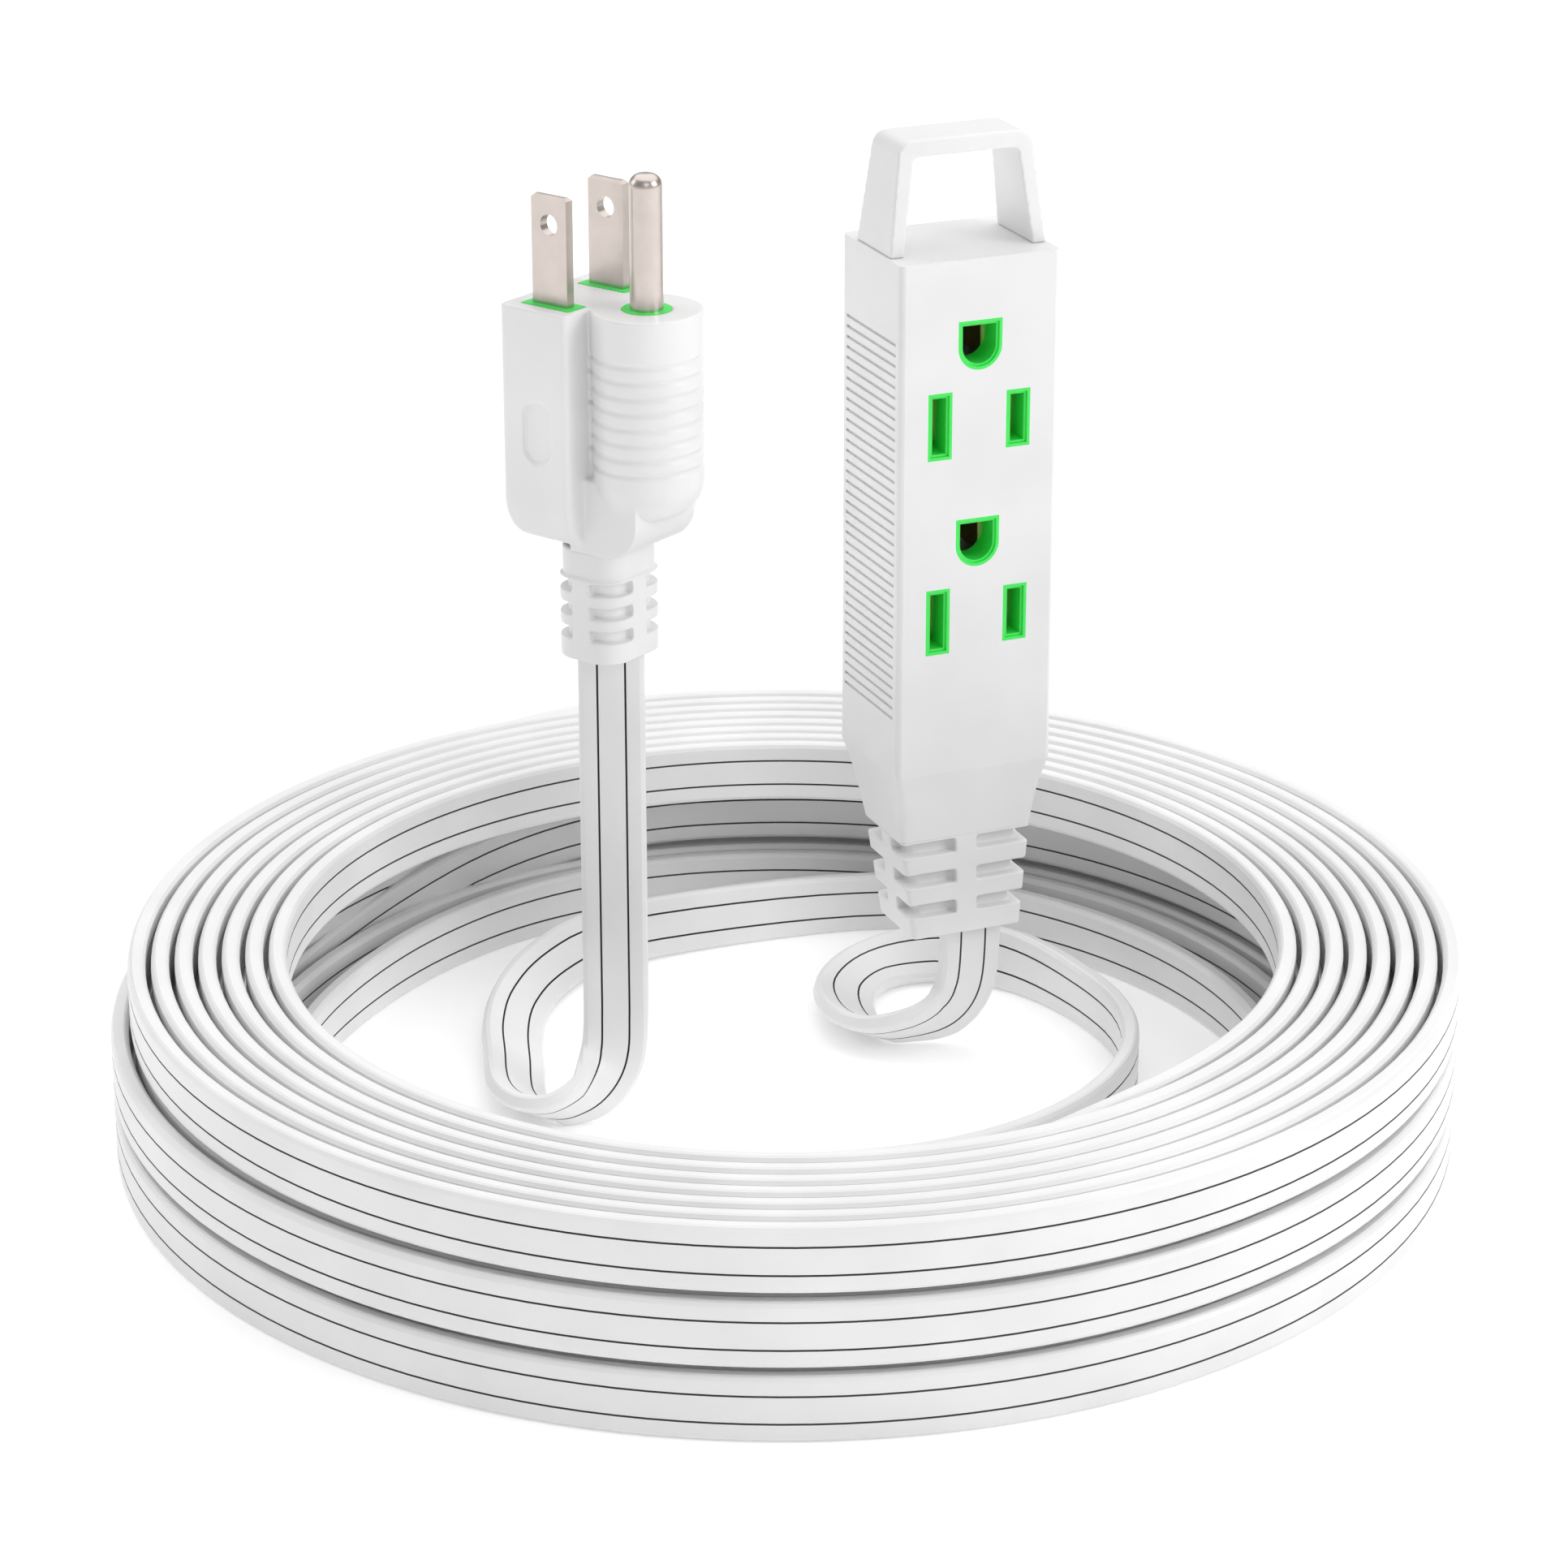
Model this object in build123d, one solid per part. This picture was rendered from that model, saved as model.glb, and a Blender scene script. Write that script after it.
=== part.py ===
from build123d import *
import math
import os

# Flat three-conductor extension cord, wound in a round coil that stands on a surface.
# The plug end and the outlet-block end stand up inside the coil on their own cord.
# Millimetres. +Z is up, the origin is the centre of the coil on the surface,
# and the outlet block's front face looks along -Y.

# ---- flat cord ----
CORD_WIDTH = 9.8
CORD_THICK = 2.7
FILL = 0.94                                         # share left by the bevelled edges
CORD_AREA = CORD_WIDTH * CORD_THICK * FILL
LEAD_RADIUS = math.sqrt(CORD_AREA / math.pi)        # round stand-in of the same section
LEAD_Z = CORD_WIDTH / 2                             # cord standing on its edge
BEND_SHARE = 0.45                                   # part of a run that each bend may take

# ---- coil ----
TURN_PITCH = 3.45
LAYER_GAP = 1.2
COIL_OUTER = 100.5
TOP_TURNS = 8
SIDE_TURNS = 5
COIL_INNER = COIL_OUTER - CORD_THICK - TURN_PITCH * (TOP_TURNS - 1)
WAIST_INNER = COIL_OUTER - CORD_THICK - TURN_PITCH * (SIDE_TURNS - 1)
COIL_HEIGHT = 3 * CORD_WIDTH + 2 * LAYER_GAP

# ---- outlet block ----
BLOCK_X = 34.0
BLOCK_Y = 16.9
BLOCK_WIDTH = 25.8
BLOCK_DEPTH = 21.2
BLOCK_TOP = 129.0
BLOCK_WAIST = 49.0
BLOCK_FOOT = 37.5
FOOT_WIDTH = 21.8
FOOT_DEPTH = 14.4
FOOT_Y = -1.2                    # the foot leans forward of the block's axis
BLOCK_EDGE = 1.0
WALL = 2.0
REAR_WALL = 1.4
COVER_THICK = 2.4
COVER_INSET = 0.8
CAVITY_LOW = 54.0
RIB_COUNT = 37
RIB_PITCH = 1.62
RIB_LOW = 58.2
RIB_WIDTH = 0.5
RIB_DEEP = 0.4
RIB_MARGIN = 1.7
FRONT = -BLOCK_DEPTH / 2
REAR = BLOCK_DEPTH / 2

# ---- handle on top of the block ----
HANDLE_HEIGHT = 16.8
HANDLE_FOOT_WIDTH = 25.2
HANDLE_TOP_WIDTH = 21.2
HANDLE_FOOT_DEPTH = 12.4
HANDLE_TOP_DEPTH = 9.4
HANDLE_BAR = 2.4
HANDLE_LEG = 2.2
HANDLE_CORNER = 2.4
WINDOW_CORNER = 1.0
HANDLE_CREST = 0.8               # rounding along the top bar's two long edges

# ---- outlets, NEMA 5-15 spacing ----
BLADE_SPACING = 12.7
GROUND_OFFSET = 11.9
FIRST_GROUND_Z = BLOCK_TOP - 13.1
OUTLET_PITCH = 30.5
SLOT_WIDTH = 2.2
SLOT_LONG = 8.6
SLOT_SHORT = 7.2
COLLAR_RIM = 0.85
COLLAR_BEVEL = 0.38
GROUND_WIDTH = 5.4
GROUND_HEIGHT = 5.9
FRAME_THICK = 2.6
CONTACT_REACH = 13.0
LEAF = 0.5
LEAF_DEPTH = 4.0
BLADE_GAP = 1.5
PIN_GAP = 4.7
BUS_LOW = 63.0
FRAME_SKIRT = 8.0                # how far the coloured frame runs below the lowest slots

# ---- plug, NEMA 5-15 ----
PLUG_X = -24.7
PLUG_Y = 15.9
PLUG_ANGLE = 30.0
PLUG_FACE = 127.5
SLAB_WIDTH = 21.4
SLAB_BACK = 6.6
SLAB_FRONT = 5.6
SLAB_HEIGHT = 36.2
SLAB_CORNER = 7.5
SLAB_EDGE = 1.0
BARREL_RADIUS = 8.1
BARREL_HEIGHT = 30.6
BARREL_FOOT = 5.5
BARREL_GROOVES = 8
BARREL_GROOVE_PITCH = 2.3
BARREL_GROOVE_TOP = 6.6
GROOVE_OUT = 0.25
GROOVE_RADIUS = 0.55
CRADLE_HALF = 7.0                # the web that carries the barrel's foot, half its width
CRADLE_FLAT = -9.0
CRADLE_BEND = 6.0
CRADLE_TOP = -25.0
BLADE_THICK = 1.5
BLADE_WIDTH = 6.35
BLADE_LENGTH = 15.9
BLADE_HOLE = 3.1
BLADE_HOLE_UP = 11.7
BLADE_TIP = 0.45
PIN_RADIUS = 2.4
PIN_LENGTH = 19.6
PIN_DOME = 1.8
STEM_RADIUS = 1.9
BURIED = 9.0
RIM = 1.2
CORE_THICK = 3.0
CORE_RECESS = 0.8
CORE_HALF = 9.2
CORE_SIDE = 4.6
CORE_ARM = 3.0
CORE_PAD = 5.4
PLUG_WALL = 1.6
CHAMBER_LOW = 26.0
GRIP_LONG = 9.4
GRIP_WIDE = 4.9
GRIP_DEEP = 0.4

# ---- strain reliefs ----
RELIEF_LOW = 21.5
RELIEF_LOW_SIZE = (18.2, 12.8)
RELIEF_LOW_Y = -2.8
RELIEF_ROWS = 3
ROW_TOP_SHARE = 0.2              # the first slot starts this share of its height lower
RELIEF_ROW_PITCH = 5.0
RELIEF_SLOT = 2.2
RELIEF_RECESS = 1.7
RELIEF_SPINE = 1.7
RELIEF_CORNER = 0.8
NECK_HALF_WIDTH = 7.0
NECK_HALF_DEPTH = 4.0
PLUG_RELIEF_TOP = PLUG_FACE - SLAB_HEIGHT
PLUG_RELIEF_LOW = 74.5
PLUG_RELIEF_Y = -4.3
PLUG_RELIEF_SIZE = (13.6, 11.6)
PLUG_RELIEF_CORNER = 4.0
PLUG_ROW_PITCH = 3.6
PLUG_ROW_SLOT = 1.9
PLUG_ROW_RECESS = 1.2
PLUG_ROW_SPINE = 1.6
PLUG_NECK_SIZE = (13.0, 11.0)
PLUG_NECK_HEIGHT = 4.2

# ---- wires and crimps ----
WIRE_RADIUS = 1.2
WIRE_STEP = 3.2
WIRE_LINE = 2.5
WIRE_BLOCK_Y = -1.0
CRIMP_RADIUS = 1.35
CRIMP_LENGTH = 5.0
CRIMP_LAP = 1.0                  # how far a crimp overlaps its rail
CRIMP_LEAN = 0.85                # plug crimps sit a little nearer the middle than the prongs

# ---- the free runs of cord: from the plug to the coil, and from the block to the coil ----
PLUG_LEAD_POINTS = [
    (-22.4, 12.2, PLUG_RELIEF_LOW),
    (-22.4, 12.2, 15.0),
    (-23.3, 11.8, 8.2),
    (-26.8, 10.2, 5.4),
    (-31.2, 8.1, 4.3),
    (-36.4, 8.8, 3.7),
    (-36.8, 15.5, 3.3),
    (-34.0, 26.0, 3.0),
    (-30.6, 36.6, 3.0),
    (-26.0, 47.0, 3.2),
    (-18.0, 57.0, 4.0),
    (-4.0, 66.0, 4.7),
    (27.0, 71.0, LEAD_Z),
]

BLOCK_LEAD_POINTS = [
    (36.6, 12.2, RELIEF_LOW),
    (36.6, 12.2, 16.0),
    (35.9, 12.2, 9.8),
    (33.0, 12.6, 6.0),
    (28.0, 13.2, 4.5),
    (22.3, 14.8, 3.8),
    (20.6, 23.0, 3.2),
    (24.0, 33.4, 3.0),
    (32.5, 40.4, 3.2),
    (43.0, 39.3, 4.0),
    (52.5, 31.0, LEAD_Z),
    (57.0, 14.0, LEAD_Z),
    (57.0, -4.0, LEAD_Z),
    (48.0, -20.5, LEAD_Z),
    (30.5, -33.0, LEAD_Z),
    (8.0, -37.0, LEAD_Z),
    (-15.0, -31.0, LEAD_Z),
    (-35.5, -29.0, LEAD_Z),
    (-47.0, -40.5, LEAD_Z),
    (-43.0, -54.5, LEAD_Z + 0.5),
    (-31.0, -63.5, 8.5),
    (-14.0, -69.6, 15.5),
    (8.0, -72.0, 23.0),
    (31.7, -68.0, 26.9),
]


def box(x0, x1, y0, y1, z0, z1):
    """A box between two corners."""
    size = (x1 - x0, y1 - y0, z1 - z0)
    middle = ((x0 + x1) / 2, (y0 + y1) / 2, (z0 + z1) / 2)
    return Pos(*middle) * Box(*size)


def round_box(width, depth, corner, z0, z1):
    """An upright box about the Z axis with rounded vertical edges."""
    outline = Pos(0, 0, z0) * RectangleRounded(width, depth, corner)
    return extrude(outline, amount=z1 - z0)


def taper(low_size, low_y, high_size, high_y, corner, z0, z1):
    """A four-sided taper between two rounded rectangles, each with its own middle in Y."""
    low = Pos(0, low_y, z0) * RectangleRounded(*low_size, corner)
    high = Pos(0, high_y, z1) * RectangleRounded(*high_size, corner)
    return loft([low, high], ruled=True)


def neck_blank():
    """The stem that joins the block's strain relief to its tub."""
    return box(
        -NECK_HALF_WIDTH, NECK_HALF_WIDTH, -NECK_HALF_DEPTH, NECK_HALF_DEPTH, BLOCK_FOOT, CAVITY_LOW
    )


def on_block(shape):
    """Carry a shape from the block's own axis to its place."""
    return Pos(BLOCK_X, BLOCK_Y, 0) * shape


def on_plug(shape):
    """Carry a shape from the plug's face frame to its place."""
    return Pos(PLUG_X, PLUG_Y, PLUG_FACE) * Rot(0, 0, PLUG_ANGLE) * shape


def outlet_heights():
    """The height of each outlet's ground hole."""
    return [FIRST_GROUND_Z, FIRST_GROUND_Z - OUTLET_PITCH]


def slot_hole(x, z, height, grow, y0, y1):
    """A blade slot's prism through the face, larger than the slot by grow on each side."""
    half_w = SLOT_WIDTH / 2 + grow
    half_h = height / 2 + grow
    return box(x - half_w, x + half_w, y0, y1, z - half_h, z + half_h)


def ground_hole(z, grow, y0, y1):
    """A ground hole's prism: flat on top, half round below."""
    half_w = GROUND_WIDTH / 2 + grow
    top = z + GROUND_HEIGHT / 2 + grow
    bend = z - GROUND_HEIGHT / 2 + GROUND_WIDTH / 2
    upper = box(-half_w, half_w, y0, y1, bend, top)
    lower = Pos(0, (y0 + y1) / 2, bend) * Rot(90, 0, 0) * Cylinder(half_w, y1 - y0)
    return upper + lower


def outlet_prisms(grow, y0, y1):
    """The six face openings: for each outlet a long slot, a short slot and a ground hole."""
    shapes = []
    for z in outlet_heights():
        slot_z = z - GROUND_OFFSET
        shapes.append(slot_hole(-BLADE_SPACING / 2, slot_z, SLOT_LONG, grow, y0, y1))
        shapes.append(slot_hole(BLADE_SPACING / 2, slot_z, SLOT_SHORT, grow, y0, y1))
        shapes.append(ground_hole(z, grow, y0, y1))
    return shapes


def make_rear_cover():
    """Tub that forms the back, sides, top and tapered foot, with fine ribs on both sides."""
    body = round_box(BLOCK_WIDTH, BLOCK_DEPTH, BLOCK_EDGE, BLOCK_WAIST, BLOCK_TOP)
    foot_size = (FOOT_WIDTH, FOOT_DEPTH)
    waist_size = (BLOCK_WIDTH, BLOCK_DEPTH)
    foot = taper(foot_size, FOOT_Y, waist_size, 0.0, BLOCK_EDGE, BLOCK_FOOT, BLOCK_WAIST)
    half = BLOCK_WIDTH / 2
    cavity = box(-half + WALL, half - WALL, FRONT, REAR - REAR_WALL, CAVITY_LOW, BLOCK_TOP - WALL)
    rebate = box(
        -half + COVER_INSET,
        half - COVER_INSET,
        FRONT,
        FRONT + COVER_THICK,
        BLOCK_WAIST + COVER_INSET,
        BLOCK_TOP - COVER_INSET,
    )
    tub = body + foot - cavity - rebate - neck_blank()
    grooves = []
    for index in range(RIB_COUNT):
        z = RIB_LOW + index * RIB_PITCH
        for side in (-1, 1):
            x0, x1 = sorted((side * half, side * (half - RIB_DEEP)))
            grooves.append(
                box(x0, x1, FRONT + RIB_MARGIN, REAR - RIB_MARGIN, z, z + RIB_WIDTH)
            )
    return on_block(tub - grooves)


def make_front_cover():
    """Flush front panel with six openings for the outlet collars."""
    half = BLOCK_WIDTH / 2 - COVER_INSET
    panel = box(
        -half,
        half,
        FRONT,
        FRONT + COVER_THICK,
        BLOCK_WAIST + COVER_INSET,
        BLOCK_TOP - COVER_INSET,
    )
    return on_block(panel - outlet_prisms(COLLAR_RIM, FRONT, FRONT + COVER_THICK))


def make_socket_frame():
    """Coloured frame behind the front panel, with a bevelled collar round each opening."""
    y0 = FRONT + COVER_THICK
    y1 = y0 + FRAME_THICK
    half = BLOCK_WIDTH / 2 - WALL
    low = FIRST_GROUND_Z - OUTLET_PITCH - GROUND_OFFSET - FRAME_SKIRT
    plate = box(-half, half, y0, y1, low, BLOCK_TOP - WALL)
    frame = plate + outlet_prisms(COLLAR_RIM, FRONT, y0)
    frame = frame - outlet_prisms(0.0, FRONT, y1)
    frame = frame - outlet_prisms(COLLAR_BEVEL, FRONT, FRONT + COLLAR_BEVEL)
    return on_block(frame)


def trapezoid(low_half, high_half, z0, z1, corner):
    """An upright four-sided face in the XZ plane, with its two upper corners rounded."""
    outline = Polyline(
        (-low_half, 0, z0), (-high_half, 0, z1), (high_half, 0, z1), (low_half, 0, z0), close=True
    )
    face = make_face(outline)
    return fillet(face.vertices().group_by(Axis.Z)[-1], corner)


def make_handle():
    """Hanging loop on top of the block, narrowing upwards, with rounded upper corners."""
    z0 = BLOCK_TOP
    z1 = BLOCK_TOP + HANDLE_HEIGHT
    outer = trapezoid(HANDLE_FOOT_WIDTH / 2, HANDLE_TOP_WIDTH / 2, z0, z1, HANDLE_CORNER)
    low_half = HANDLE_FOOT_WIDTH / 2 - HANDLE_LEG
    high_half = HANDLE_TOP_WIDTH / 2 - HANDLE_LEG
    window = trapezoid(low_half, high_half, z0, z1 - HANDLE_BAR, WINDOW_CORNER)
    loop = extrude(outer, amount=HANDLE_FOOT_DEPTH, both=True, dir=(0, 1, 0))
    loop = loop - extrude(window, amount=HANDLE_FOOT_DEPTH, both=True, dir=(0, 1, 0))
    side = trapezoid(HANDLE_FOOT_DEPTH / 2, HANDLE_TOP_DEPTH / 2, z0, z1, HANDLE_CREST)
    depth = extrude(Rot(0, 0, 90) * side, amount=HANDLE_FOOT_WIDTH, both=True, dir=(1, 0, 0))
    return on_block(loop & depth)


def contact_bus(x, gap, side, heights, height, low):
    """A brass rail with one pair of spring leaves for each outlet, as one bent strip."""
    y0 = FRONT + COVER_THICK + FRAME_THICK
    y1 = y0 + LEAF_DEPTH
    outer = sorted((x + side * gap / 2, x + side * (gap / 2 + LEAF)))
    inner = sorted((x - side * gap / 2, x - side * (gap / 2 + LEAF)))
    strip = box(outer[0], outer[1], y0, y1, low, max(heights) + height / 2 + LEAF)
    for z in heights:
        top = z + height / 2
        strip += box(inner[0], inner[1], y0, y0 + CONTACT_REACH, z - height / 2, top + LEAF)
        strip += box(outer[0], outer[1], y0, y0 + CONTACT_REACH, z - height / 2, top + LEAF)
        left, right = min(inner + outer), max(inner + outer)
        strip += box(left, right, y0, y1, top, top + LEAF)
    return on_block(strip)


def bus_ends():
    """Where each rail ends above the foot: its X, and the Y of its middle."""
    y = FRONT + COVER_THICK + FRAME_THICK + LEAF_DEPTH / 2
    blade = BLADE_SPACING / 2 + BLADE_GAP / 2 + LEAF / 2
    return [(-blade, y), (-(PIN_GAP + LEAF) / 2, y), (blade, y)]


def slanted_wire(start, end):
    """One insulated conductor between two points, cut level at both ends."""
    way = Vector(*end) - Vector(*start)
    return extrude(Pos(*start) * Circle(WIRE_RADIUS), amount=way.length, dir=way.normalized())


def make_block_wires():
    """The three conductors inside the block: long-slot side, ground, short-slot side."""
    wires = []
    for index, (x, y) in enumerate(bus_ends()):
        start = ((index - 1) * WIRE_STEP, WIRE_BLOCK_Y, CAVITY_LOW)
        end = (x, y, BUS_LOW - CRIMP_LENGTH + CRIMP_LAP)
        wires.append(on_block(slanted_wire(start, end)))
    return wires


def make_block_crimps():
    """Three crimp barrels, one at the lower end of each rail."""
    barrels = []
    for x, y in bus_ends():
        barrel = Pos(x, y, BUS_LOW - CRIMP_LENGTH / 2 + CRIMP_LAP)
        barrels.append(on_block(barrel * Cylinder(CRIMP_RADIUS, CRIMP_LENGTH - 2 * CRIMP_LAP)))
    return Compound(children=barrels)


def slot_rings(hull, core, z1, rows, pitch, slot, spine, middle_y):
    """Cut rows of slots round a relief down to its core, leaving a spine on each face."""
    reach = 2 * BLOCK_WIDTH
    z0 = z1 - rows * pitch - slot
    keep = box(-spine, spine, -reach, reach, z0, z1)
    keep = keep + box(-reach, reach, middle_y - spine, middle_y + spine, z0, z1)
    for row in range(rows):
        top = z1 - ROW_TOP_SHARE * slot - row * pitch
        ring = box(-reach, reach, -reach, reach, top - slot, top)
        hull = hull - (ring - core - keep)
    return hull


def make_block_relief():
    """Tapered strain relief under the block, with the neck that holds it in the foot."""
    foot_size = (FOOT_WIDTH, FOOT_DEPTH)
    hull = taper(
        RELIEF_LOW_SIZE, RELIEF_LOW_Y, foot_size, FOOT_Y, RELIEF_CORNER, RELIEF_LOW, BLOCK_FOOT
    )
    low_core = [side - 2 * RELIEF_RECESS for side in RELIEF_LOW_SIZE]
    high_core = [side - 2 * RELIEF_RECESS for side in foot_size]
    core = taper(low_core, RELIEF_LOW_Y, high_core, FOOT_Y, RELIEF_CORNER, RELIEF_LOW, BLOCK_FOOT)
    middle_y = (FOOT_Y + RELIEF_LOW_Y) / 2
    sleeve = slot_rings(
        hull, core, BLOCK_FOOT, RELIEF_ROWS, RELIEF_ROW_PITCH, RELIEF_SLOT, RELIEF_SPINE, middle_y
    )
    return on_block(sleeve + neck_blank())


def blade(x):
    """One flat blade with its hole and its chamfered tip, in the plug's face frame."""
    half_x = BLADE_THICK / 2
    half_y = BLADE_WIDTH / 2
    plate = box(x - half_x, x + half_x, -half_y, half_y, -BURIED, BLADE_LENGTH)
    plate = chamfer(plate.edges().group_by(Axis.Z)[-1], BLADE_TIP)
    hole = Pos(x, 0, BLADE_HOLE_UP) * Rot(0, 90, 0) * Cylinder(BLADE_HOLE / 2, BLADE_THICK * 2)
    return plate - hole


def ground_pin():
    """Round ground pin with a domed tip and a thinner buried stem, in the plug's face frame."""
    shaft = Pos(0, -GROUND_OFFSET, PIN_LENGTH / 2) * Cylinder(PIN_RADIUS, PIN_LENGTH)
    shaft = fillet(shaft.edges().filter_by(GeomType.CIRCLE).sort_by(Axis.Z)[-1], PIN_DOME)
    stem = Pos(0, -GROUND_OFFSET, -BURIED / 2) * Cylinder(STEM_RADIUS, BURIED)
    return shaft + stem


def prong_prisms(grow, pin_radius, z0, z1):
    """The blades' footprints, larger by grow, and the pin's disc, between two heights."""
    shapes = []
    for x in (-BLADE_SPACING / 2, BLADE_SPACING / 2):
        half_x = BLADE_THICK / 2 + grow
        half_y = BLADE_WIDTH / 2 + grow
        shapes.append(box(x - half_x, x + half_x, -half_y, half_y, z0, z1))
    pin = Pos(0, -GROUND_OFFSET, (z0 + z1) / 2) * Cylinder(pin_radius, z1 - z0)
    shapes.append(pin)
    return shapes


def core_blank():
    """The block inside the plug that ties the two blades and the ground pin together."""
    z0 = -CORE_RECESS - CORE_THICK
    bridge = box(-CORE_HALF, CORE_HALF, -CORE_SIDE, CORE_SIDE, z0, -CORE_RECESS)
    arm = box(-CORE_ARM, CORE_ARM, -GROUND_OFFSET, 0, z0, -CORE_RECESS)
    pad = Pos(0, -GROUND_OFFSET, z0 + CORE_THICK / 2) * Cylinder(CORE_PAD, CORE_THICK)
    return bridge + arm + pad


def make_plug_core():
    """Coloured inner moulding that holds the prongs and shows as a rim round each one."""
    core = core_blank() + prong_prisms(RIM, PIN_RADIUS + RIM, -CORE_RECESS, 0.0)
    return on_plug(core - prong_prisms(0.0, STEM_RADIUS, -CORE_RECESS - CORE_THICK, 0.0))


def plug_cradle():
    """The web under the slab that curves forward and carries the foot of the barrel."""
    front = CRADLE_FLAT - CRADLE_BEND
    web = box(-CRADLE_HALF, CRADLE_HALF, front, -SLAB_FRONT / 2, -SLAB_HEIGHT, CRADLE_TOP)
    toe = web.edges().filter_by(Axis.X).group_by(Axis.Z)[0].sort_by(Axis.Y)[0]
    return fillet(toe, CRADLE_BEND)


def ribbed_barrel():
    """The round part round the ground pin, with a domed foot and shallow grooves."""
    barrel = Pos(0, -GROUND_OFFSET, -BARREL_HEIGHT / 2) * Cylinder(BARREL_RADIUS, BARREL_HEIGHT)
    barrel = fillet(barrel.edges().filter_by(GeomType.CIRCLE).sort_by(Axis.Z)[0], BARREL_FOOT)
    for index in range(BARREL_GROOVES):
        z = -BARREL_GROOVE_TOP - index * BARREL_GROOVE_PITCH
        groove = Torus(BARREL_RADIUS + GROOVE_OUT, GROOVE_RADIUS)
        barrel = barrel - Pos(0, -GROUND_OFFSET, z) * groove
    return barrel


def make_plug_body():
    """Moulded plug: a slab round the two blades and a ribbed barrel round the ground pin."""
    half = SLAB_WIDTH / 2
    slab = box(-half, half, -SLAB_FRONT, SLAB_BACK, -SLAB_HEIGHT, 0)
    slab = fillet(slab.edges().filter_by(Axis.Y).group_by(Axis.Z)[0], SLAB_CORNER)
    slab = fillet(slab.edges().filter_by(Axis.Z), SLAB_EDGE)
    body = slab + ribbed_barrel() + plug_cradle() - core_blank()
    body = body - prong_prisms(RIM, PIN_RADIUS + RIM, -CORE_RECESS, 0.0)
    body = body - prong_prisms(0.0, STEM_RADIUS, -BURIED, -CORE_RECESS - CORE_THICK)
    y0 = -SLAB_FRONT + PLUG_WALL
    y1 = SLAB_BACK - PLUG_WALL
    body = body - box(-CORE_HALF, CORE_HALF, y0, y1, -CHAMBER_LOW, -BURIED)
    body = body - box(-CORE_ARM, CORE_ARM, -GROUND_OFFSET - CORE_ARM, y0, -CHAMBER_LOW, -BURIED)
    dimple = Pos(-half, 0.0, -SLAB_HEIGHT / 2) * Rot(0, 90, 0) * SlotOverall(GRIP_LONG, GRIP_WIDE)
    return on_plug(body - extrude(dimple, amount=GRIP_DEEP, both=True))


def crimp_spots():
    """Where the prongs meet their wires, in the plug's face frame."""
    return [(-BLADE_SPACING / 2, 0.0), (0.0, -GROUND_OFFSET), (BLADE_SPACING / 2, 0.0)]


def make_plug_crimps():
    """Three crimp barrels under the prongs."""
    barrels = []
    for x, y in crimp_spots():
        barrel = Pos(x, y * CRIMP_LEAN, -BURIED - CRIMP_LENGTH / 2)
        barrels.append(on_plug(barrel * Cylinder(CRIMP_RADIUS, CRIMP_LENGTH)))
    return Compound(children=barrels)


def make_plug_wires():
    """The three conductors inside the plug, from the relief up to the crimps."""
    wires = []
    for index, (x, y) in enumerate(crimp_spots()):
        start = ((index - 1) * WIRE_STEP, -WIRE_LINE, -CHAMBER_LOW)
        end = (x, y * CRIMP_LEAN, -BURIED - CRIMP_LENGTH)
        wires.append(on_plug(slanted_wire(start, end)))
    return wires


def make_plug_relief():
    """Rounded strain relief under the plug body: a plain neck over three ribbed rows."""
    z0 = PLUG_RELIEF_LOW - PLUG_FACE
    z1 = PLUG_RELIEF_TOP - PLUG_FACE
    shoulder = z1 - PLUG_NECK_HEIGHT
    hull = round_box(*PLUG_RELIEF_SIZE, PLUG_RELIEF_CORNER, z0, shoulder)
    core_size = [side - 2 * PLUG_ROW_RECESS for side in PLUG_RELIEF_SIZE]
    core = round_box(*core_size, PLUG_RELIEF_CORNER - PLUG_ROW_RECESS, z0, shoulder)
    sleeve = slot_rings(
        hull, core, shoulder, RELIEF_ROWS, PLUG_ROW_PITCH, PLUG_ROW_SLOT, PLUG_ROW_SPINE, 0.0
    )
    neck = round_box(*PLUG_NECK_SIZE, PLUG_RELIEF_CORNER, shoulder, z1)
    return on_plug(Pos(0, PLUG_RELIEF_Y, 0) * (sleeve + neck))


def make_coil():
    """The wound cord: wide top layer, narrower middle layer, wide loose bottom layer."""
    step = CORD_WIDTH + LAYER_GAP / 2
    outline = Polyline(
        (COIL_INNER, 0, 0),
        (COIL_OUTER, 0, 0),
        (COIL_OUTER, 0, COIL_HEIGHT),
        (COIL_INNER, 0, COIL_HEIGHT),
        (COIL_INNER, 0, COIL_HEIGHT - step),
        (WAIST_INNER, 0, COIL_HEIGHT - step),
        (WAIST_INNER, 0, step),
        (COIL_INNER, 0, step),
        close=True,
    )
    return revolve(make_face(outline), axis=Axis.Z)


def lead_radii(points):
    """The largest bend that each corner's two runs allow."""
    radii = []
    for a, b, c in zip(points, points[1:], points[2:]):
        before = Vector(*b) - Vector(*a)
        after = Vector(*c) - Vector(*b)
        turn = math.radians(before.get_angle(after))
        run = min(before.length, after.length)
        radii.append(BEND_SHARE * run / math.tan(turn / 2))
    return radii


def make_lead(name, points, coil):
    """A free stretch of cord as a round tube, cut off where it enters the coil."""
    radii = lead_radii(points)
    line = FilletPolyline(*points, radius=radii)
    section = Plane(line @ 0, z_dir=line % 0) * Circle(LEAD_RADIUS)
    tube = sweep(section, path=line)
    section_volume = math.pi * LEAD_RADIUS ** 2 * line.length
    print(name, "bend radii", [round(r, 1) for r in radii])
    print(name, "length", round(line.length, 1))
    print(name, "volume", round(tube.volume, 1), "expected", round(section_volume, 1))
    return tube - coil


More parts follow.
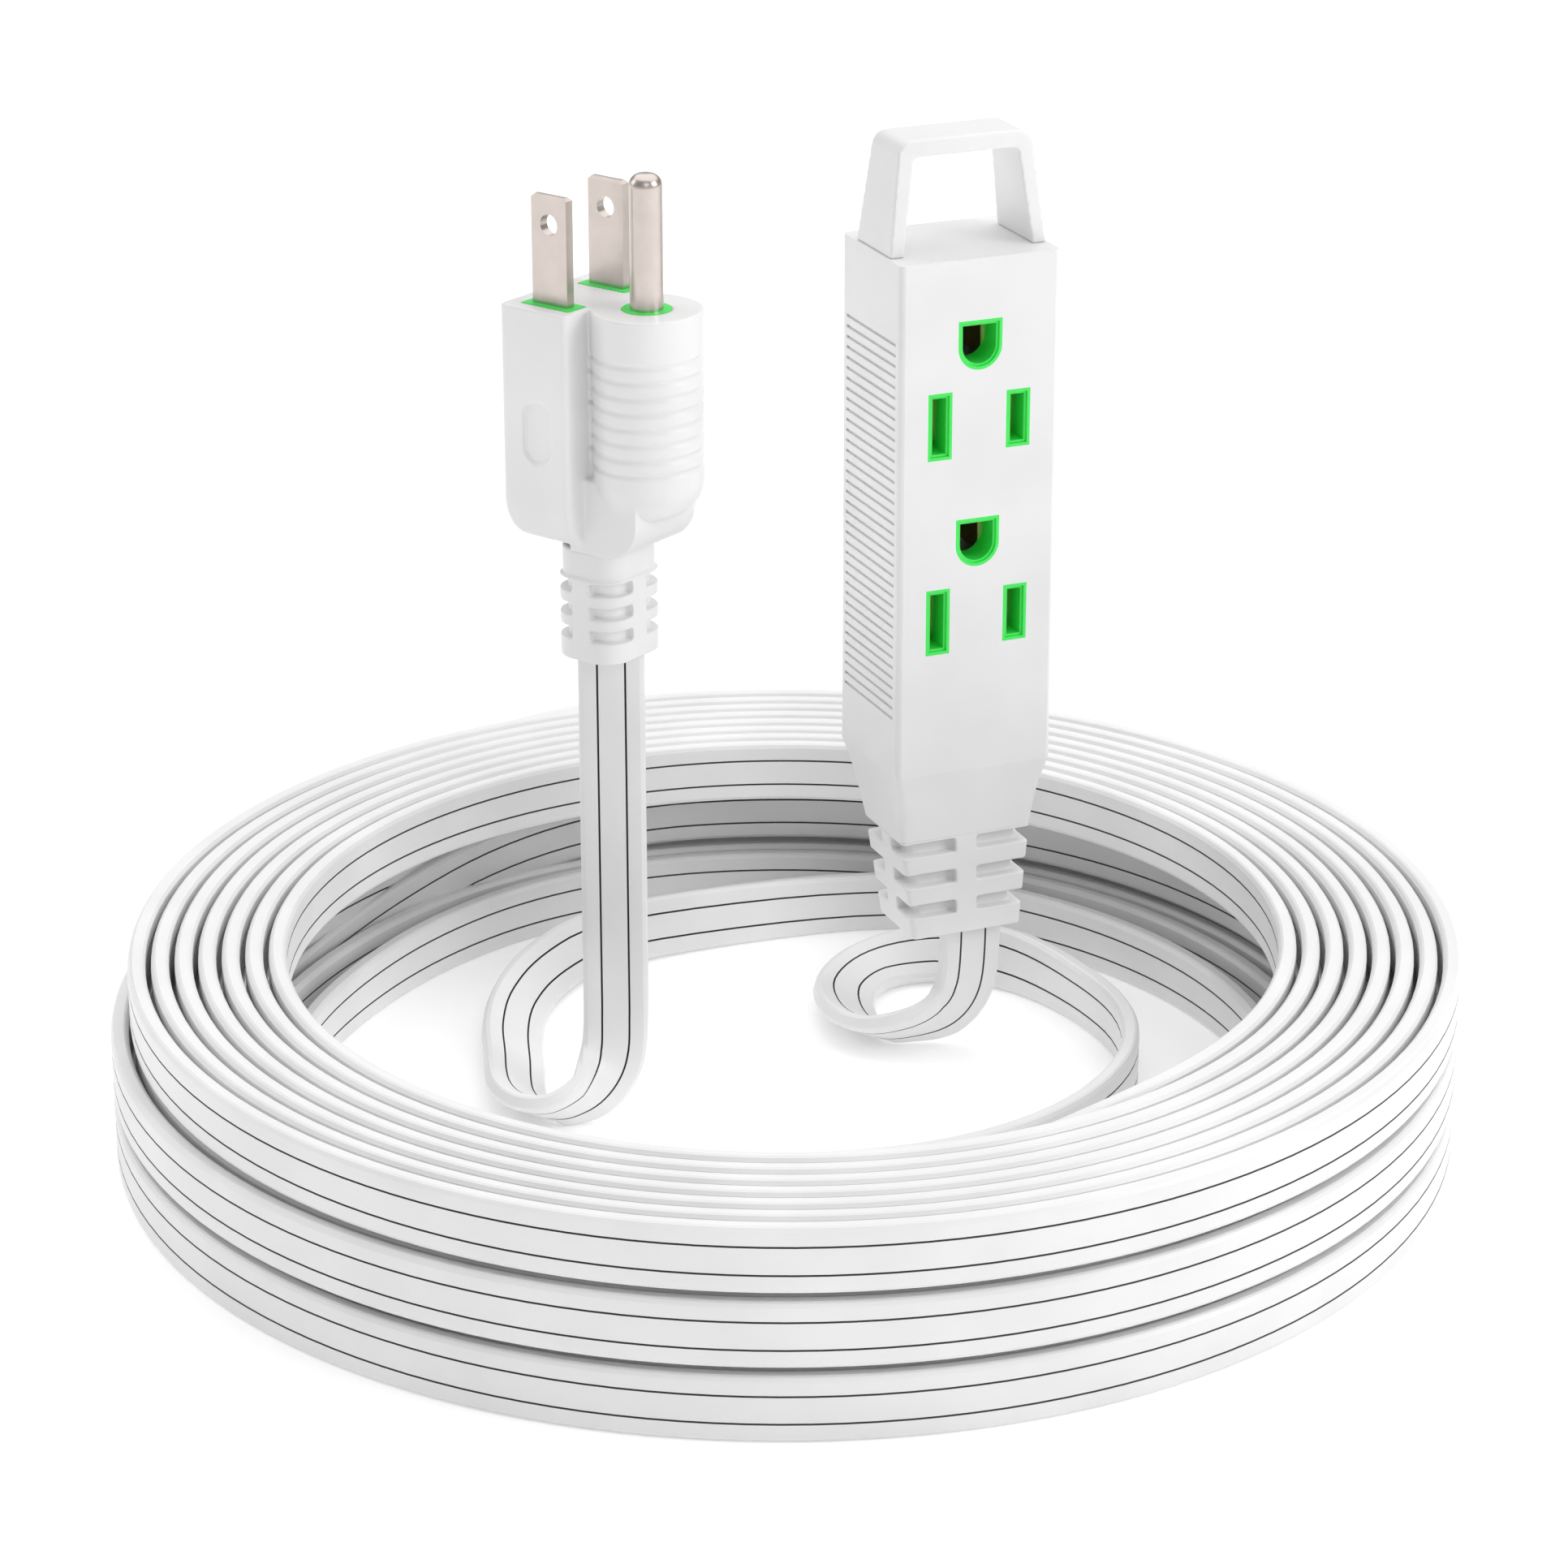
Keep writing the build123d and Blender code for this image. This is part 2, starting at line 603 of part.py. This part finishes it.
def main():
    coil = make_coil()
    block_wires = make_block_wires()
    plug_wires = make_plug_wires()
    slots = [z - GROUND_OFFSET for z in outlet_heights()]
    blade_x = BLADE_SPACING / 2
    parts = {
        "front_cover": make_front_cover(),
        "rear_cover": make_rear_cover(),
        "hang_handle": make_handle(),
        "socket_frame": make_socket_frame(),
        "neutral_bus": contact_bus(-blade_x, BLADE_GAP, -1, slots, SLOT_SHORT, BUS_LOW),
        "line_bus": contact_bus(blade_x, BLADE_GAP, 1, slots, SLOT_SHORT, BUS_LOW),
        "ground_bus": contact_bus(0.0, PIN_GAP, -1, outlet_heights(), GROUND_HEIGHT, BUS_LOW),
        "block_crimps": make_block_crimps(),
        "block_neutral_wire": block_wires[0],
        "block_ground_wire": block_wires[1],
        "block_line_wire": block_wires[2],
        "block_strain_relief": make_block_relief(),
        "plug_body": make_plug_body(),
        "plug_core": make_plug_core(),
        "plug_neutral_blade": on_plug(blade(-blade_x)),
        "plug_line_blade": on_plug(blade(blade_x)),
        "plug_ground_pin": on_plug(ground_pin()),
        "plug_crimps": make_plug_crimps(),
        "plug_neutral_wire": plug_wires[0],
        "plug_ground_wire": plug_wires[1],
        "plug_line_wire": plug_wires[2],
        "plug_strain_relief": make_plug_relief(),
        "cord_coil": coil,
        "cord_plug_lead": make_lead("plug lead", PLUG_LEAD_POINTS, coil),
        "cord_block_lead": make_lead("block lead", BLOCK_LEAD_POINTS, coil),
    }
    os.makedirs("parts", exist_ok=True)
    for name, shape in parts.items():
        export_step(shape, f"parts/{name}.step")


main()
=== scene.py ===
import math

import bpy
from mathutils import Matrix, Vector


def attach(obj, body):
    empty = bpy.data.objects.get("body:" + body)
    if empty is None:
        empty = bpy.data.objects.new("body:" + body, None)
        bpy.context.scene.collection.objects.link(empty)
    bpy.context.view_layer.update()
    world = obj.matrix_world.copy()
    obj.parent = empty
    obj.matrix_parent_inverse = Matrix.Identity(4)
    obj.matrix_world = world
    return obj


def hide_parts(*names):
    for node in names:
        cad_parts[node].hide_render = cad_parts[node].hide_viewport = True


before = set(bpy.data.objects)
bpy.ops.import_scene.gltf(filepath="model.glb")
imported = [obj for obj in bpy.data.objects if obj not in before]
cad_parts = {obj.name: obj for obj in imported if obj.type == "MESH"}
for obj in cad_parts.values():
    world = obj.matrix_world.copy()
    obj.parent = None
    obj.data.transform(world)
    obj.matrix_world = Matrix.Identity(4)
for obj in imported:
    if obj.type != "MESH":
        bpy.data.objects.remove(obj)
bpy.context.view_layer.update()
MM = 0.001

# ---- flat cord, in metres ----
CORD_WIDTH = 9.8 * MM
CORD_THICK = 2.7 * MM
LANE = 3.45 * MM                 # from one turn to the next, outwards
LEVEL = 11.0 * MM                # from one layer to the next, upwards
OUTER_TURN = 99.15 * MM          # middle line of the outermost turn
EDGE_Z = CORD_WIDTH / 2          # height of a cord that stands on its edge
TOP_Z = EDGE_Z + 2 * LEVEL
GROOVE_AT = 0.21 * CORD_WIDTH    # from the cord's middle to each groove
GROOVE_LIP = 0.15 * MM           # half the groove's mouth
GROOVE_DEEP = 0.7 * MM
CROWN = 0.07 * MM                # each lobe's middle stands this much above its sides
FACE_INSET = 0.7 * MM            # where a face ends, in from the cord's edge
BEVEL_INSET = 0.18 * MM          # the bevel's own corner, in from the edge
BEVEL_DROP = 0.42 * MM           # and down from the face
EDGE_DROP = 0.75 * MM            # where the flat edge starts, down from the face
NEAR_ZERO = 0.01 * MM            # heights this close count as the same
# The second material is painted shade: a dark grey on the groove walls stands for the shade inside the
# narrow grooves.
JACKET_SLOT, GROOVE_SHADE_SLOT = 0, 1  # the cord's two materials
EDGE_ANGLE = 20.0                # bends sharper than this stay crisp
STEPS_PER_TURN = 24              # control points on each turn of the coil
SPLINE_ORDER = 3                 # a curve of the second degree
LINE_DIVISIONS = 6               # drawn steps between two control points

# The route between the outlet block and the coil, block end first, in millimetres.
BLOCK_LEAD = [
    (36.6, 12.2, 21.5),
    (36.6, 12.2, 16.0),
    (35.9, 12.2, 9.8),
    (33.0, 12.6, 6.0),
    (27.0, 13.0, 4.6),
    (21.6, 15.4, 3.8),
    (20.5, 22.6, 3.3),
    (24.0, 33.4, 3.0),
    (32.5, 40.4, 3.2),
    (43.0, 39.3, 4.0),
    (52.5, 31.0, 4.9),
    (57.0, 14.0, 4.9),
    (57.0, -4.0, 4.9),
    (48.0, -20.5, 4.9),
    (30.5, -33.0, 4.9),
    (8.0, -37.0, 4.9),
    (-15.0, -31.0, 4.9),
    (-35.5, -29.0, 4.9),
    (-47.0, -40.5, 4.9),
    (-43.0, -54.5, 5.4),
    (-31.0, -63.5, 8.5),
    (-14.0, -69.6, 15.5),
    (8.0, -72.0, 23.0),
]

# The route between the coil and the plug, plug end first, in millimetres.
PLUG_LEAD = [
    (-22.4, 12.2, 74.5),
    (-22.4, 12.2, 22.0),
    (-22.4, 12.2, 15.0),
    (-23.2, 11.2, 9.5),
    (-26.0, 9.4, 6.4),
    (-30.3, 7.6, 4.7),
    (-34.6, 7.6, 4.0),
    (-37.2, 10.6, 3.8),
    (-37.4, 15.5, 3.6),
    (-35.8, 21.0, 3.4),
    (-33.6, 27.0, 3.2),
    (-30.6, 36.6, 3.0),
    (-26.0, 47.0, 3.2),
    (-18.0, 57.0, 4.0),
    (-4.0, 66.0, 4.7),
]

# The way the cord's width points at each point of a lead, from its lower edge to its upper.
# Each end hangs flat, then leans outwards round a small loop and comes to stand on its edge.
UP = (0.0, 0.0, 1.0)
BLOCK_LEAD_WIDTH = [
    (-1.0, 0.0, 0.0),
    (-1.0, 0.0, 0.0),
    (-1.0, 0.0, 0.05),
    (-0.9, -0.1, 0.3),
    (-0.68, -0.45, 0.55),
    (-0.76, -0.42, 0.5),
    (-0.91, 0.0, 0.4),
    (-0.82, 0.55, 0.25),
    (-0.45, 0.8, 0.4),
    (0.08, 0.75, 0.6),
    (0.15, 0.3, 0.95),
]
PLUG_LEAD_WIDTH = [
    (-0.92, 0.39, 0.0),
    (-0.92, 0.39, 0.0),
    (-0.92, 0.38, 0.02),
    (-0.92, 0.25, 0.2),
    (-0.82, -0.05, 0.5),
    (-0.68, -0.45, 0.58),
    (-0.74, -0.46, 0.52),
    (-0.82, -0.3, 0.5),
    (-0.88, -0.05, 0.47),
    (-0.88, 0.15, 0.42),
    (-0.87, 0.3, 0.38),
    (-0.84, 0.44, 0.33),
    (-0.78, 0.46, 0.42),
    (-0.55, 0.5, 0.68),
    (-0.3, 0.4, 0.85),
]


# ---------------------------------------------------------------- materials

TONE_FROM, TONE_TO = 0.35, 0.65      # noise values that give the low and the high shade
PLASTIC_TONE = (60.0, 2.0)           # a noise's scale and detail
PLASTIC_LOW, PLASTIC_HIGH = 0.97, 1.02
PLASTIC_GRAIN_DETAIL = 3.0
PLASTIC_BUMP = (0.12, 0.04 * MM)     # a texture's strength and depth
METAL_TONE = (300.0, 3.0)
METAL_LOW = 0.93
METAL_BUMP = (0.15, 0.02 * MM)
DRAWN_OUT = 0.03                     # drawn lines: their scale along a piece, as a share of that across


def new_material(name, color, roughness):
    """A material with its colour and roughness on the shader's own sockets."""
    mat = bpy.data.materials.new(name)
    mat.use_nodes = True
    shader = mat.node_tree.nodes["Principled BSDF"]
    shader.inputs["Base Color"].default_value = (*color, 1.0)
    shader.inputs["Roughness"].default_value = roughness
    return mat, mat.node_tree, shader


def object_noise(tree, scale, detail):
    """A noise texture fixed to the object."""
    coords = tree.nodes.new("ShaderNodeTexCoord")
    noise = tree.nodes.new("ShaderNodeTexNoise")
    noise.inputs["Scale"].default_value = scale
    noise.inputs["Detail"].default_value = detail
    tree.links.new(coords.outputs["Object"], noise.inputs["Vector"])
    return noise


def color_between(tree, shader, noise, low, high):
    """Let a noise vary the base colour between two close shades."""
    ramp = tree.nodes.new("ShaderNodeValToRGB")
    ramp.color_ramp.elements[0].position = TONE_FROM
    ramp.color_ramp.elements[0].color = (*low, 1.0)
    ramp.color_ramp.elements[1].position = TONE_TO
    ramp.color_ramp.elements[1].color = (*high, 1.0)
    tree.links.new(noise.outputs["Fac"], ramp.inputs["Fac"])
    tree.links.new(ramp.outputs["Color"], shader.inputs["Base Color"])


def bump(tree, shader, noise, strength, distance):
    """Fine surface texture from a noise."""
    node = tree.nodes.new("ShaderNodeBump")
    node.inputs["Strength"].default_value = strength
    node.inputs["Distance"].default_value = distance
    tree.links.new(noise.outputs["Fac"], node.inputs["Height"])
    tree.links.new(node.outputs["Normal"], shader.inputs["Normal"])


def moulded(name, color, roughness, grain):
    """Moulded plastic: faint tone changes and a fine spark texture."""
    mat, tree, shader = new_material(name, color, roughness)
    tone = object_noise(tree, *PLASTIC_TONE)
    low = tuple(c * PLASTIC_LOW for c in color)
    high = tuple(min(1.0, c * PLASTIC_HIGH) for c in color)
    color_between(tree, shader, tone, low, high)
    bump(tree, shader, object_noise(tree, grain, PLASTIC_GRAIN_DETAIL), *PLASTIC_BUMP)
    return mat


def plated(name, color, roughness, brushing):
    """Metal with fine drawn lines along the piece and small changes of shine."""
    mat, tree, shader = new_material(name, color, roughness)
    shader.inputs["Metallic"].default_value = 1.0
    low = tuple(c * METAL_LOW for c in color)
    color_between(tree, shader, object_noise(tree, *METAL_TONE), low, color)
    coords = tree.nodes.new("ShaderNodeTexCoord")
    stretch = tree.nodes.new("ShaderNodeMapping")
    stretch.inputs["Scale"].default_value = (brushing, brushing, brushing * DRAWN_OUT)
    lines = tree.nodes.new("ShaderNodeTexNoise")
    lines.inputs["Scale"].default_value = 1.0
    tree.links.new(coords.outputs["Object"], stretch.inputs["Vector"])
    tree.links.new(stretch.outputs["Vector"], lines.inputs["Vector"])
    bump(tree, shader, lines, *METAL_BUMP)
    return mat


# Each with its colour, its roughness and the fineness of its grain or of its drawn lines.
MATERIALS = {
    "cord_jacket": moulded("cord_jacket", (0.80, 0.80, 0.80), 0.36, 2500.0),
    # Painted shade: the groove walls take a dark grey that stands for the shade deep in the cord's
    # grooves.
    "cord_groove_shade": moulded("cord_groove_shade", (0.13, 0.13, 0.13), 0.7, 2500.0),
    "white_shell": moulded("white_shell", (0.80, 0.80, 0.805), 0.4, 3500.0),
    "white_soft": moulded("white_soft", (0.80, 0.80, 0.80), 0.34, 3000.0),
    "green_plastic": moulded("green_plastic", (0.045, 0.80, 0.10), 0.28, 2500.0),
    "contact_brass": plated("contact_brass", (0.72, 0.50, 0.24), 0.35, 9000.0),
    "prong_nickel": plated("prong_nickel", (0.60, 0.54, 0.50), 0.3, 9000.0),
    "wire_white": moulded("wire_white", (0.80, 0.80, 0.80), 0.4, 3000.0),
    "wire_green": moulded("wire_green", (0.03, 0.40, 0.10), 0.4, 3000.0),
    "wire_black": moulded("wire_black", (0.03, 0.03, 0.03), 0.4, 3000.0),
}

# Which finish each CAD piece takes.
FINISH = {
    "front_cover": "white_shell",
    "rear_cover": "white_shell",
    "hang_handle": "white_shell",
    "plug_body": "white_soft",
    "plug_strain_relief": "white_soft",
    "block_strain_relief": "white_soft",
    "socket_frame": "green_plastic",
    "plug_core": "green_plastic",
    "neutral_bus": "contact_brass",
    "line_bus": "contact_brass",
    "ground_bus": "contact_brass",
    "block_crimps": "contact_brass",
    "plug_crimps": "contact_brass",
    "plug_neutral_blade": "prong_nickel",
    "plug_line_blade": "prong_nickel",
    "plug_ground_pin": "prong_nickel",
    "block_neutral_wire": "wire_white",
    "plug_neutral_wire": "wire_white",
    "block_ground_wire": "wire_green",
    "plug_ground_wire": "wire_green",
    "block_line_wire": "wire_black",
    "plug_line_wire": "wire_black",
    "cord_coil": "cord_jacket",
    "cord_plug_lead": "cord_jacket",
    "cord_block_lead": "cord_jacket",
}

WEAR = 0.5                       # how far one round of smoothing moves a point
KEPT_FACES = 0.5                 # share of the rounded copy's faces that is kept
# Pieces whose moulded edges are rounded: name, mesh grain, rounds of smoothing.
SOFTENED = [
    ("plug_body", 0.22 * MM, 2),
    ("plug_strain_relief", 0.2 * MM, 3),
    ("block_strain_relief", 0.22 * MM, 3),
    ("hang_handle", 0.22 * MM, 4),
]


# ---------------------------------------------------------------- camera, floor, lights

SKY = 0.36                       # strength of the pale surroundings
FLOOR_HALF = 4.0
FLOOR_COLOR = (0.93, 0.93, 0.93)
FLOOR_ROUGHNESS = 0.9
FLOOR_SHINE = 0.1
FLOOR_GLOW = 0.2                 # lifts the floor to plain white
OVERHEAD = 2.0                   # strength of the wide lamp above
OVERHEAD_SPREAD = math.radians(95.0)
OVERHEAD_TILT = (math.radians(-18.0), math.radians(12.0), 0.0)
LAMP_AIM = Vector((0.0, 0.0, 0.05))
# name, way round, rise, distance, size, power
LAMPS = [
    ("right", 48.0, 28.0, 1.6, 0.8, 8.5),
    ("front", -15.0, 32.0, 1.6, 0.8, 2.5),
    ("left", -128.0, 25.0, 1.6, 0.9, 4.0),
]
CAMERA_TURN = math.radians(-23.0)
CAMERA_RISE = math.radians(21.63)
CAMERA_DISTANCE = 0.700
CAMERA_TARGET = Vector((0.0, 0.0, 0.0541))
FOCAL_MM = 108.7
SENSOR_MM = 36.0
NEAR_CLIP = 0.01


def make_camera():
    """The view: from the front, a little to the left of the block's own front."""
    flat = math.cos(CAMERA_RISE) * CAMERA_DISTANCE
    offset = Vector(
        (
            math.sin(CAMERA_TURN) * flat,
            -math.cos(CAMERA_TURN) * flat,
            math.sin(CAMERA_RISE) * CAMERA_DISTANCE,
        )
    )
    data = bpy.data.cameras.new("camera")
    data.lens = FOCAL_MM
    data.sensor_width = SENSOR_MM
    data.clip_start = NEAR_CLIP
    camera = bpy.data.objects.new("camera", data)
    camera.location = CAMERA_TARGET + offset
    camera.rotation_euler = (-offset).to_track_quat("-Z", "Y").to_euler()
    bpy.context.collection.objects.link(camera)
    bpy.context.scene.camera = camera


def area_light(name, azimuth, rise, distance, size, power):
    """A soft square lamp that looks at a point above the coil's middle."""
    data = bpy.data.lights.new(name, "AREA")
    data.size = size
    data.energy = power
    lamp = bpy.data.objects.new(name, data)
    turn, lift = math.radians(azimuth), math.radians(rise)
    way = Vector((math.sin(turn) * math.cos(lift), -math.cos(turn) * math.cos(lift), math.sin(lift)))
    lamp.location = way * distance + LAMP_AIM
    lamp.rotation_euler = (-way).to_track_quat("-Z", "Y").to_euler()
    bpy.context.collection.objects.link(lamp)


def make_stage():
    """White floor, pale surroundings, soft lamps and the plain view transform."""
    mesh = bpy.data.meshes.new("floor")
    half = FLOOR_HALF
    corners = [(-half, -half, 0), (half, -half, 0), (half, half, 0), (-half, half, 0)]
    mesh.from_pydata(corners, [], [(0, 1, 2, 3)])
    floor = bpy.data.objects.new("floor", mesh)
    mat, _, shader = new_material("floor", FLOOR_COLOR, FLOOR_ROUGHNESS)
    shader.inputs["Emission Color"].default_value = (1.0, 1.0, 1.0, 1.0)
    shader.inputs["Emission Strength"].default_value = FLOOR_GLOW
    shader.inputs["Specular IOR Level"].default_value = FLOOR_SHINE
    floor.data.materials.append(mat)
    bpy.context.collection.objects.link(floor)
    world = bpy.data.worlds.new("studio")
    world.use_nodes = True
    world.node_tree.nodes["Background"].inputs["Color"].default_value = (1, 1, 1, 1)
    world.node_tree.nodes["Background"].inputs["Strength"].default_value = SKY
    bpy.context.scene.world = world
    data = bpy.data.lights.new("overhead", "SUN")
    data.energy = OVERHEAD
    data.angle = OVERHEAD_SPREAD
    lamp = bpy.data.objects.new("overhead", data)
    lamp.rotation_euler = OVERHEAD_TILT
    bpy.context.collection.objects.link(lamp)
    for settings in LAMPS:
        area_light(*settings)
    bpy.context.scene.view_settings.view_transform = "Standard"


# ---------------------------------------------------------------- the cord's line

def smooth(t):
    """Ease from 0 to 1."""
    t = min(1.0, max(0.0, t))
    return t * t * (3.0 - 2.0 * t)


def ring_point(azimuth, radius, z):
    """A point of a round turn, set out so that the drawn curve has the wanted radius."""
    out = radius / math.cos(math.pi / STEPS_PER_TURN)
    a = math.radians(azimuth)
    return (out * math.cos(a), out * math.sin(a), z)


FULL_TURN = 360.0
TOP_TURNS = 8
LOWER_COLUMNS = 5                # full columns of the two lower layers
LOOSE_GAP = 4.2 * MM             # from the innermost column to the first loose turn
INNER_TURN = OUTER_TURN - (TOP_TURNS - 1) * LANE
# Ways round the coil, in degrees.
TOP_START = -65.0                # where the block's lead joins the innermost turn
TOP_STEP_FROM, TOP_STEP_TO = 140.0, 250.0
CHANGE_FROM, CHANGE_TO = 85.0, 135.0
COIL_END = 65.0 + FULL_TURN      # where the last turn leaves for the plug


def top_layer():
    """The top turns, from the inside outwards. Each steps to the next lane between left and front."""
    points = []
    step = FULL_TURN / STEPS_PER_TURN
    count = int((CHANGE_FROM - TOP_START + (TOP_TURNS - 1) * FULL_TURN) / step) + 1
    for index in range(count):
        azimuth = TOP_START + index * step
        turn = math.floor((azimuth - TOP_STEP_TO) / FULL_TURN) + 1
        inside = (azimuth - TOP_STEP_FROM) - turn * FULL_TURN
        lane = turn + smooth(inside / (TOP_STEP_TO - TOP_STEP_FROM))
        points.append(ring_point(azimuth, INNER_TURN + lane * LANE, TOP_Z))
    return points


def lower_places():
    """Radius and height of the last top turn and of each turn below it, in the cord's order."""
    places = [(OUTER_TURN, TOP_Z)]
    for column in range(LOWER_COLUMNS):
        radius = OUTER_TURN - column * LANE
        levels = (EDGE_Z + LEVEL, EDGE_Z)
        if column % 2:
            levels = (EDGE_Z, EDGE_Z + LEVEL)
        for z in levels:
            places.append((radius, z))
    places.append((OUTER_TURN - (LOWER_COLUMNS - 1) * LANE - LOOSE_GAP, EDGE_Z))
    places.append((INNER_TURN, EDGE_Z))
    return places


def lower_layers():
    """The turns of the middle and bottom layers, each change of place made at the back."""
    places = lower_places()
    points = []
    step = FULL_TURN / STEPS_PER_TURN
    last = len(places) - 1
    for turn in range(1, len(places)):
        old_radius, old_z = places[turn - 1]
        new_radius, new_z = places[turn]
        span = COIL_END - CHANGE_FROM if turn == last else FULL_TURN
        for index in range(int(span / step)):
            angle = (index + 1) * step
            share = smooth(angle / (CHANGE_TO - CHANGE_FROM))
            radius = old_radius + (new_radius - old_radius) * share
            z = old_z + (new_z - old_z) * share
            points.append(ring_point(CHANGE_FROM + angle, radius, z))
    return points


def metres(points):
    """Points given in millimetres, in metres."""
    return [tuple(c * MM for c in p) for p in points]


def cord_route():
    """Every control point of the cord's one line, and the way its width points there."""
    start = metres(BLOCK_LEAD)
    coil = top_layer() + lower_layers()
    end = metres(PLUG_LEAD)[::-1]
    widths = BLOCK_LEAD_WIDTH + [UP] * (len(start) - len(BLOCK_LEAD_WIDTH))
    widths = widths + [UP] * len(coil) + PLUG_LEAD_WIDTH[::-1]
    return start + coil + end, widths


def drawn_line(points):
    """The smooth line that a NURBS spline draws through its control points."""
    curve = bpy.data.curves.new("cord_line", "CURVE")
    curve.dimensions = "3D"
    curve.resolution_u = LINE_DIVISIONS
    spline = curve.splines.new("NURBS")
    spline.points.add(len(points) - 1)
    for target, point in zip(spline.points, points):
        target.co = (*point, 1.0)
    spline.order_u = SPLINE_ORDER
    spline.use_endpoint_u = True
    holder = bpy.data.objects.new("cord_line", curve)
    bpy.context.collection.objects.link(holder)
    bpy.context.view_layer.update()
    mesh = bpy.data.meshes.new_from_object(holder)
    line = [v.co.copy() for v in mesh.vertices]
    bpy.data.objects.remove(holder)
    bpy.data.meshes.remove(mesh)
    bpy.data.curves.remove(curve)
    return line


def cord_section():
    """The flat cord's outline, from its upper face round, and which sides are groove walls."""
    half_w, half_t = CORD_WIDTH / 2, CORD_THICK / 2
    groove_floor = half_t - GROOVE_DEEP
    face = [(-half_w + FACE_INSET, half_t - CROWN), (-(half_w + GROOVE_AT) / 2, half_t)]
    for side in (-1, 1):
        face.append((side * GROOVE_AT - GROOVE_LIP, half_t - CROWN))
        face.append((side * GROOVE_AT, groove_floor))
        face.append((side * GROOVE_AT + GROOVE_LIP, half_t - CROWN))
        if side < 0:
            face.append((0.0, half_t))
    face += [((half_w + GROOVE_AT) / 2, half_t), (half_w - FACE_INSET, half_t - CROWN)]
    edge = [(half_w - BEVEL_INSET, half_t - BEVEL_DROP), (half_w, half_t - EDGE_DROP)]
    half = face + edge
    outline = half + [(a, -b) for a, b in half[::-1]]
    outline += [(-a, -b) for a, b in edge] + [(-a, b) for a, b in edge[::-1]]
    bottoms = [k for k, (_, b) in enumerate(outline) if abs(abs(b) - groove_floor) < NEAR_ZERO]
    # The groove walls are the faces that take the painted groove shade.
    walls = {k for bottom in bottoms for k in (bottom - 1, bottom)}
    return outline, walls


def swept_points(line, widths, section):
    """The section's points at each step of the line, turned as the width directions say."""
    last = len(line) - 1
    stretches = len(widths) - SPLINE_ORDER + 1
    verts = []
    for index, here in enumerate(line):
        ahead = line[min(index + 1, last)] - line[max(index - 1, 0)]
        along = ahead.normalized()
        place = index / last * stretches + 0.5      # a stretch starts midway between two points
        low = min(int(place), len(widths) - 2)
        wide = Vector(widths[low]).normalized().lerp(Vector(widths[low + 1]).normalized(), place - low)
        wide = (wide - along * wide.dot(along)).normalized()
        thick = along.cross(wide)
        verts += [here + wide * a + thick * b for a, b in section]
    return verts


def swept_faces(ring, last, walls):
    """The faces between neighbouring sections and at both ends, and the material of each."""
    faces, slots = [], []
    for index in range(last):
        base = index * ring
        for k in range(ring):
            after = (k + 1) % ring
            faces.append((base + k, base + after, base + ring + after, base + ring + k))
            # Groove walls take the painted shade material, all other faces the jacket.
            slots.append(GROOVE_SHADE_SLOT if k in walls else JACKET_SLOT)
    faces.append(tuple(range(ring))[::-1])
    faces.append(tuple(last * ring + k for k in range(ring)))
    slots += [JACKET_SLOT, JACKET_SLOT]
    return faces, slots


def make_cord():
    """The whole cord as one flat strip along its line, with the line and its length."""
    points, widths = cord_route()
    line = drawn_line(points)
    section, walls = cord_section()
    ring = len(section)
    last = len(line) - 1
    faces, slots = swept_faces(ring, last, walls)
    mesh = bpy.data.meshes.new("flat_cord")
    mesh.from_pydata(swept_points(line, widths, section), [], faces)
    mesh.update()
    mesh.polygons.foreach_set("use_smooth", [True] * len(mesh.polygons))
    mesh.set_sharp_from_angle(angle=math.radians(EDGE_ANGLE))
    # Only the grooves, the bevels and the ends stay crisp, not the edges across the cord.
    for edge in mesh.edges:
        a, b = edge.vertices
        if a // ring == b // ring and 0 < a // ring < last:
            edge.use_edge_sharp = False
    cord = bpy.data.objects.new("flat_cord", mesh)
    mesh.materials.append(MATERIALS["cord_jacket"])
    mesh.materials.append(MATERIALS["cord_groove_shade"])
    mesh.polygons.foreach_set("material_index", slots)
    bpy.context.collection.objects.link(cord)
    length = sum((b - a).length for a, b in zip(line, line[1:]))
    return cord, line, length


def softened(name, grain, rounds):
    """A copy of a moulded CAD piece with its edges rounded, which stands for the piece."""
    piece = bpy.data.objects.new(name + "_moulded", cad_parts[name].data.copy())
    bpy.context.collection.objects.link(piece)
    even = piece.modifiers.new("even", "REMESH")
    even.mode = "VOXEL"
    even.voxel_size = grain
    worn = piece.modifiers.new("worn", "SMOOTH")
    worn.factor = WEAR
    worn.iterations = rounds
    light = piece.modifiers.new("light", "DECIMATE")
    light.ratio = KEPT_FACES
    bpy.context.view_layer.update()
    shape = bpy.data.meshes.new_from_object(piece.evaluated_get(bpy.context.evaluated_depsgraph_get()))
    piece.modifiers.clear()
    piece.data = shape
    shape.polygons.foreach_set("use_smooth", [True] * len(shape.polygons))
    shape.materials.clear()
    shape.materials.append(MATERIALS[FINISH[name]])
    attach(piece, "root")
    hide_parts(name)
    return piece


make_camera()
make_stage()
soft_pieces = {name: softened(name, grain, rounds) for name, grain, rounds in SOFTENED}
cord, cord_path, cord_length = make_cord()
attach(cord, "root")
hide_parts("cord_coil", "cord_plug_lead", "cord_block_lead")

for name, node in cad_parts.items():
    for index in range(len(node.data.materials)):
        node.data.materials[index] = MATERIALS[FINISH[name]]
